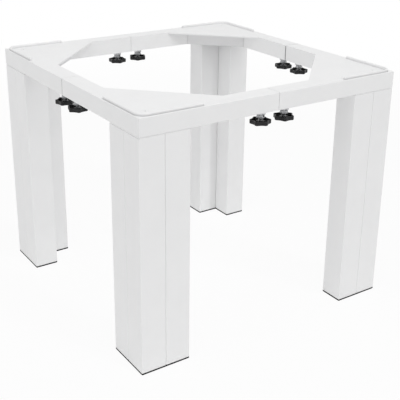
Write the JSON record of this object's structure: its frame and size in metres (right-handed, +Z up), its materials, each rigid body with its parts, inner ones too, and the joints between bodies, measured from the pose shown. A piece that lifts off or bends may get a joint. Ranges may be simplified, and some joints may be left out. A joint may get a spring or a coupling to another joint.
{
  "type": "washing machine stand",
  "caption": "Raised square stand for a washing machine: corner units on L-shaped legs, telescoping sides locked by knob screws, lips that keep the machine in place.",
  "frame": {"origin": "middle of the footprint, on the floor under the foot pads", "axes": "+Z up; +X to the right of the front; +Y from the front to the back. The near corner of the picture is front left, and the front faces the picture's lower right"},
  "size_m": [0.6026, 0.6029, 0.5085],
  "materials": {
    "white_powder_coat": "fine satin powder coat on steel",
    "zinc_plated": "bright zinc plating",
    "black_plastic": "moulded, fine matt grain",
    "rubber_pad": "matt black rubber sheet"
  },
  "bodies": {
    "front_left_corner": {"front_left_width_arm": "white_powder_coat", "front_left_depth_arm": "white_powder_coat", "front_left_corner_plate": "white_powder_coat", "front_left_lip": "white_powder_coat", "front_left_brace": "white_powder_coat", "front_left_leg_post": "white_powder_coat", "front_left_leg_wings": "white_powder_coat", "front_left_leg_cap": "white_powder_coat", "front_left_foot_pad": "rubber_pad", "front_left_fixings": "zinc_plated"},
    "front_right_corner": {"front_right_width_arm": "white_powder_coat", "front_right_depth_arm": "white_powder_coat", "front_right_corner_plate": "white_powder_coat", "front_right_lip": "white_powder_coat", "front_right_brace": "white_powder_coat", "front_right_leg_post": "white_powder_coat", "front_right_leg_wings": "white_powder_coat", "front_right_leg_cap": "white_powder_coat", "front_right_foot_pad": "rubber_pad", "front_right_fixings": "zinc_plated"},
    "back_left_corner": {"back_left_width_arm": "white_powder_coat", "back_left_depth_arm": "white_powder_coat", "back_left_corner_plate": "white_powder_coat", "back_left_lip": "white_powder_coat", "back_left_brace": "white_powder_coat", "back_left_leg_post": "white_powder_coat", "back_left_leg_wings": "white_powder_coat", "back_left_leg_cap": "white_powder_coat", "back_left_foot_pad": "rubber_pad", "back_left_fixings": "zinc_plated"},
    "back_right_corner": {"back_right_width_arm": "white_powder_coat", "back_right_depth_arm": "white_powder_coat", "back_right_corner_plate": "white_powder_coat", "back_right_lip": "white_powder_coat", "back_right_brace": "white_powder_coat", "back_right_leg_post": "white_powder_coat", "back_right_leg_wings": "white_powder_coat", "back_right_leg_cap": "white_powder_coat", "back_right_foot_pad": "rubber_pad", "back_right_fixings": "zinc_plated"},
    "front_bar": {"front_bar": "zinc_plated"},
    "right_bar": {"right_bar": "zinc_plated"},
    "back_bar": {"back_bar": "zinc_plated"},
    "left_bar": {"left_bar": "zinc_plated"},
    "front_stud_left": {"front_stud_left": "zinc_plated"},
    "front_stud_right": {"front_stud_right": "zinc_plated"},
    "back_stud_left": {"back_stud_left": "zinc_plated"},
    "back_stud_right": {"back_stud_right": "zinc_plated"},
    "left_stud_front": {"left_stud_front": "zinc_plated"},
    "left_stud_back": {"left_stud_back": "zinc_plated"},
    "right_stud_front": {"right_stud_front": "zinc_plated"},
    "right_stud_back": {"right_stud_back": "zinc_plated"},
    "front_knob_left": {"front_knob_left": "black_plastic"},
    "front_knob_right": {"front_knob_right": "black_plastic"},
    "back_knob_left": {"back_knob_left": "black_plastic"},
    "back_knob_right": {"back_knob_right": "black_plastic"},
    "left_knob_front": {"left_knob_front": "black_plastic"},
    "left_knob_back": {"left_knob_back": "black_plastic"},
    "right_knob_front": {"right_knob_front": "black_plastic"},
    "right_knob_back": {"right_knob_back": "black_plastic"}
  },
  "joints": [
    {"name": "front_bar_slide", "type": "slide", "parent": "front_left_corner", "child": "front_bar", "axis": [1, 0, 0], "range_m": [0, 0.05]},
    {"name": "front_right_corner_slide", "type": "slide", "parent": "front_bar", "child": "front_right_corner", "axis": [1, 0, 0], "range_m": [0, 0.05]},
    {"name": "left_bar_slide", "type": "slide", "parent": "front_left_corner", "child": "left_bar", "axis": [0, 1, 0], "range_m": [0, 0.05]},
    {"name": "back_left_corner_slide", "type": "slide", "parent": "left_bar", "child": "back_left_corner", "axis": [0, 1, 0], "range_m": [0, 0.05]},
    {"name": "right_bar_slide", "type": "slide", "parent": "front_right_corner", "child": "right_bar", "axis": [0, 1, 0], "range_m": [0, 0.05]},
    {"name": "back_right_corner_slide", "type": "slide", "parent": "right_bar", "child": "back_right_corner", "axis": [0, 1, 0], "range_m": [0, 0.05]},
    {"name": "back_bar_slide", "type": "slide", "parent": "back_left_corner", "child": "back_bar", "axis": [1, 0, 0], "range_m": [0, 0.05]},
    {"name": "front_stud_left_slide", "type": "slide", "parent": "front_left_corner", "child": "front_stud_left", "axis": [0, 0, -1], "range_m": [0, 0.0025]},
    {"name": "front_knob_left_turn", "type": "hinge", "parent": "front_stud_left", "child": "front_knob_left", "pos_m": [-0.028, -0.281, 0.447], "axis": [0, 0, -1], "range_deg": [0, 720]},
    {"name": "front_stud_right_slide", "type": "slide", "parent": "front_right_corner", "child": "front_stud_right", "axis": [0, 0, -1], "range_m": [0, 0.0025]},
    {"name": "front_knob_right_turn", "type": "hinge", "parent": "front_stud_right", "child": "front_knob_right", "pos_m": [0.028, -0.281, 0.447], "axis": [0, 0, -1], "range_deg": [0, 720]},
    {"name": "back_stud_left_slide", "type": "slide", "parent": "back_left_corner", "child": "back_stud_left", "axis": [0, 0, -1], "range_m": [0, 0.0025]},
    {"name": "back_knob_left_turn", "type": "hinge", "parent": "back_stud_left", "child": "back_knob_left", "pos_m": [-0.028, 0.281, 0.447], "axis": [0, 0, -1], "range_deg": [0, 720]},
    {"name": "back_stud_right_slide", "type": "slide", "parent": "back_right_corner", "child": "back_stud_right", "axis": [0, 0, -1], "range_m": [0, 0.0025]},
    {"name": "back_knob_right_turn", "type": "hinge", "parent": "back_stud_right", "child": "back_knob_right", "pos_m": [0.028, 0.281, 0.447], "axis": [0, 0, -1], "range_deg": [0, 720]},
    {"name": "left_stud_front_slide", "type": "slide", "parent": "front_left_corner", "child": "left_stud_front", "axis": [0, 0, -1], "range_m": [0, 0.0025]},
    {"name": "left_knob_front_turn", "type": "hinge", "parent": "left_stud_front", "child": "left_knob_front", "pos_m": [-0.281, -0.028, 0.447], "axis": [0, 0, -1], "range_deg": [0, 720]},
    {"name": "left_stud_back_slide", "type": "slide", "parent": "back_left_corner", "child": "left_stud_back", "axis": [0, 0, -1], "range_m": [0, 0.0025]},
    {"name": "left_knob_back_turn", "type": "hinge", "parent": "left_stud_back", "child": "left_knob_back", "pos_m": [-0.281, 0.028, 0.447], "axis": [0, 0, -1], "range_deg": [0, 720]},
    {"name": "right_stud_front_slide", "type": "slide", "parent": "front_right_corner", "child": "right_stud_front", "axis": [0, 0, -1], "range_m": [0, 0.0025]},
    {"name": "right_knob_front_turn", "type": "hinge", "parent": "right_stud_front", "child": "right_knob_front", "pos_m": [0.281, -0.028, 0.447], "axis": [0, 0, -1], "range_deg": [0, 720]},
    {"name": "right_stud_back_slide", "type": "slide", "parent": "back_right_corner", "child": "right_stud_back", "axis": [0, 0, -1], "range_m": [0, 0.0025]},
    {"name": "right_knob_back_turn", "type": "hinge", "parent": "right_stud_back", "child": "right_knob_back", "pos_m": [0.281, 0.028, 0.447], "axis": [0, 0, -1], "range_deg": [0, 720]}
  ],
  "couplings": [
    {"joint": "front_right_corner_slide", "follows": "front_bar_slide", "ratio": 1},
    {"joint": "back_bar_slide", "follows": "front_bar_slide", "ratio": 1},
    {"joint": "back_left_corner_slide", "follows": "left_bar_slide", "ratio": 1},
    {"joint": "right_bar_slide", "follows": "left_bar_slide", "ratio": 1},
    {"joint": "back_right_corner_slide", "follows": "left_bar_slide", "ratio": 1},
    {"joint": "front_knob_left_turn", "follows": "front_stud_left_slide", "rad_per_m": 5026.5},
    {"joint": "front_knob_right_turn", "follows": "front_stud_right_slide", "rad_per_m": 5026.5},
    {"joint": "back_knob_left_turn", "follows": "back_stud_left_slide", "rad_per_m": 5026.5},
    {"joint": "back_knob_right_turn", "follows": "back_stud_right_slide", "rad_per_m": 5026.5},
    {"joint": "left_knob_front_turn", "follows": "left_stud_front_slide", "rad_per_m": 5026.5},
    {"joint": "left_knob_back_turn", "follows": "left_stud_back_slide", "rad_per_m": 5026.5},
    {"joint": "right_knob_front_turn", "follows": "right_stud_front_slide", "rad_per_m": 5026.5},
    {"joint": "right_knob_back_turn", "follows": "right_stud_back_slide", "rad_per_m": 5026.5}
  ]
}
